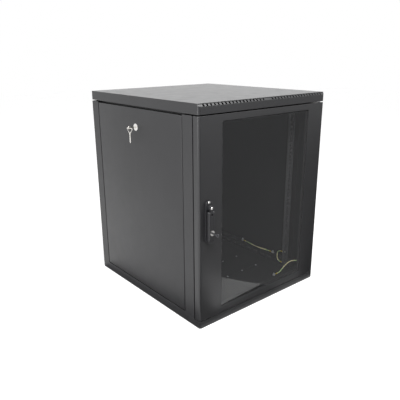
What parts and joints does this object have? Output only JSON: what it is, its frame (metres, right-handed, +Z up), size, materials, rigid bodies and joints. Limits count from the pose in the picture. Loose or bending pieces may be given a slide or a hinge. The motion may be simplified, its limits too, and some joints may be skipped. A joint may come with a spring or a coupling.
{
  "type": "wall mount network cabinet",
  "caption": "Upright steel wall cabinet with a hinged glass door, swing handle, lift-off side panels, rack rails and a slotted roof edge.",
  "frame": {"origin": "middle of the footprint, on the surface that the cabinet stands on", "axes": "+X to the cabinet's right seen from the front, +Y to its back, +Z up"},
  "size_m": [0.6334, 0.703, 0.746],
  "materials": {
    "black_powder": "fine-textured black powder coat",
    "glass": "clear tempered float glass",
    "black_rubber": "matt black",
    "black_casting": "satin black die casting",
    "chrome": "bright nickel plate",
    "zinc": "bright zinc plate",
    "nylon": "natural nylon",
    "lead_sheath": "yellow and green PVC"
  },
  "bodies": {
    "cabinet": {"base_tray": "black_powder", "floor_entry_cover": "black_powder", "roof_cover": "black_powder", "left_front_post": "black_powder", "right_front_post": "black_powder", "left_rear_post": "black_powder", "right_rear_post": "black_powder", "left_top_rail": "black_powder", "right_top_rail": "black_powder", "front_lintel": "black_powder", "front_sill": "black_powder", "rear_panel": "black_powder", "wall_rails": "black_powder", "left_depth_rails": "black_powder", "right_depth_rails": "black_powder", "left_rack_rail": "black_powder", "right_rack_rail": "black_powder", "rack_rail_bolts": "zinc", "hinge_washer": "nylon", "ring_terminals": "zinc", "ground_studs": "zinc", "depth_rail_lead": "lead_sheath", "rack_rail_lead": "lead_sheath", "door_lead": "lead_sheath"},
    "door": {"door_frame": "black_powder", "glass_pane": "glass", "glass_seal": "black_rubber", "glass_clips": "black_powder", "door_seal": "black_rubber", "handle_plate": "black_casting", "handle_screw": "chrome", "hinge_brackets": "black_powder", "bottom_hinge_pin": "zinc", "bolt_spring": "zinc", "door_terminal": "zinc", "door_stud": "zinc"},
    "hinge_bolt": {"top_hinge_bolt": "zinc"},
    "handle_rotor": {"handle_rotor": "chrome", "pivot_pin": "zinc", "latch_cam": "zinc", "latch_nut": "zinc"},
    "handle_lever": {"handle_lever": "black_casting", "handle_lock_ring": "chrome"},
    "handle_lock": {"handle_lock_plug": "chrome", "handle_key": "chrome"},
    "lock_bolt": {"lock_bolt": "zinc"},
    "left_panel": {"left_side_panel": "black_powder", "left_lock_housing": "chrome"},
    "left_lock": {"left_lock_plug": "chrome", "left_lock_cam": "zinc", "side_key": "chrome"},
    "spare_key": {"spare_key": "chrome"},
    "right_panel": {"right_side_panel": "black_powder", "right_lock_housing": "chrome"},
    "right_lock": {"right_lock_plug": "chrome", "right_lock_cam": "zinc"}
  },
  "joints": [
    {"name": "door_hinge", "type": "hinge", "parent": "cabinet", "child": "door", "pos_m": [0.29, -0.312, 0.366], "axis": [0, 0, 1], "range_deg": [0, 180], "deforming": ["door_lead"]},
    {"name": "hinge_bolt_slide", "type": "slide", "parent": "door", "child": "hinge_bolt", "axis": [0, 0, -1], "range_m": [0, 0.009], "stiffness_N_per_m": 300, "springref_m": -0.01, "deforming": ["bolt_spring"]},
    {"name": "handle_turn", "type": "hinge", "parent": "door", "child": "handle_rotor", "pos_m": [-0.264, -0.332, 0.425], "axis": [0, -1, 0], "range_deg": [0, 90]},
    {"name": "lever_lift", "type": "hinge", "parent": "handle_rotor", "child": "handle_lever", "pos_m": [-0.264, -0.3393, 0.408], "axis": [-1, 0, 0], "range_deg": [0, 35]},
    {"name": "handle_lock_turn", "type": "hinge", "parent": "handle_lever", "child": "handle_lock", "pos_m": [-0.264, -0.34, 0.343], "axis": [0, -1, 0], "range_deg": [0, 90]},
    {"name": "lock_bolt_slide", "type": "slide", "parent": "handle_lever", "child": "lock_bolt", "axis": [0, 0, -1], "range_m": [0, 0.0045]},
    {"name": "left_panel_tilt", "type": "hinge", "parent": "cabinet", "child": "left_panel", "pos_m": [-0.3, 0.0165, 0.0333], "axis": [0, -1, 0], "range_deg": [0, 25]},
    {"name": "left_lock_turn", "type": "hinge", "parent": "left_panel", "child": "left_lock", "pos_m": [-0.3, 0.0165, 0.64], "axis": [1, 0, 0], "range_deg": [0, 90]},
    {"name": "spare_key_swing", "type": "hinge", "parent": "left_lock", "child": "spare_key", "pos_m": [-0.3247, 0.0165, 0.6389], "axis": [0, 1, 0], "range_deg": [-20, 60]},
    {"name": "right_panel_tilt", "type": "hinge", "parent": "cabinet", "child": "right_panel", "pos_m": [0.3, 0.0165, 0.0333], "axis": [0, 1, 0], "range_deg": [0, 25]},
    {"name": "right_lock_turn", "type": "hinge", "parent": "right_panel", "child": "right_lock", "pos_m": [0.3, 0.0165, 0.64], "axis": [1, 0, 0], "range_deg": [0, 90]}
  ],
  "couplings": [
    {"joint": "lock_bolt_slide", "follows": "handle_lock_turn", "m_per_rad": 0.0028648}
  ]
}
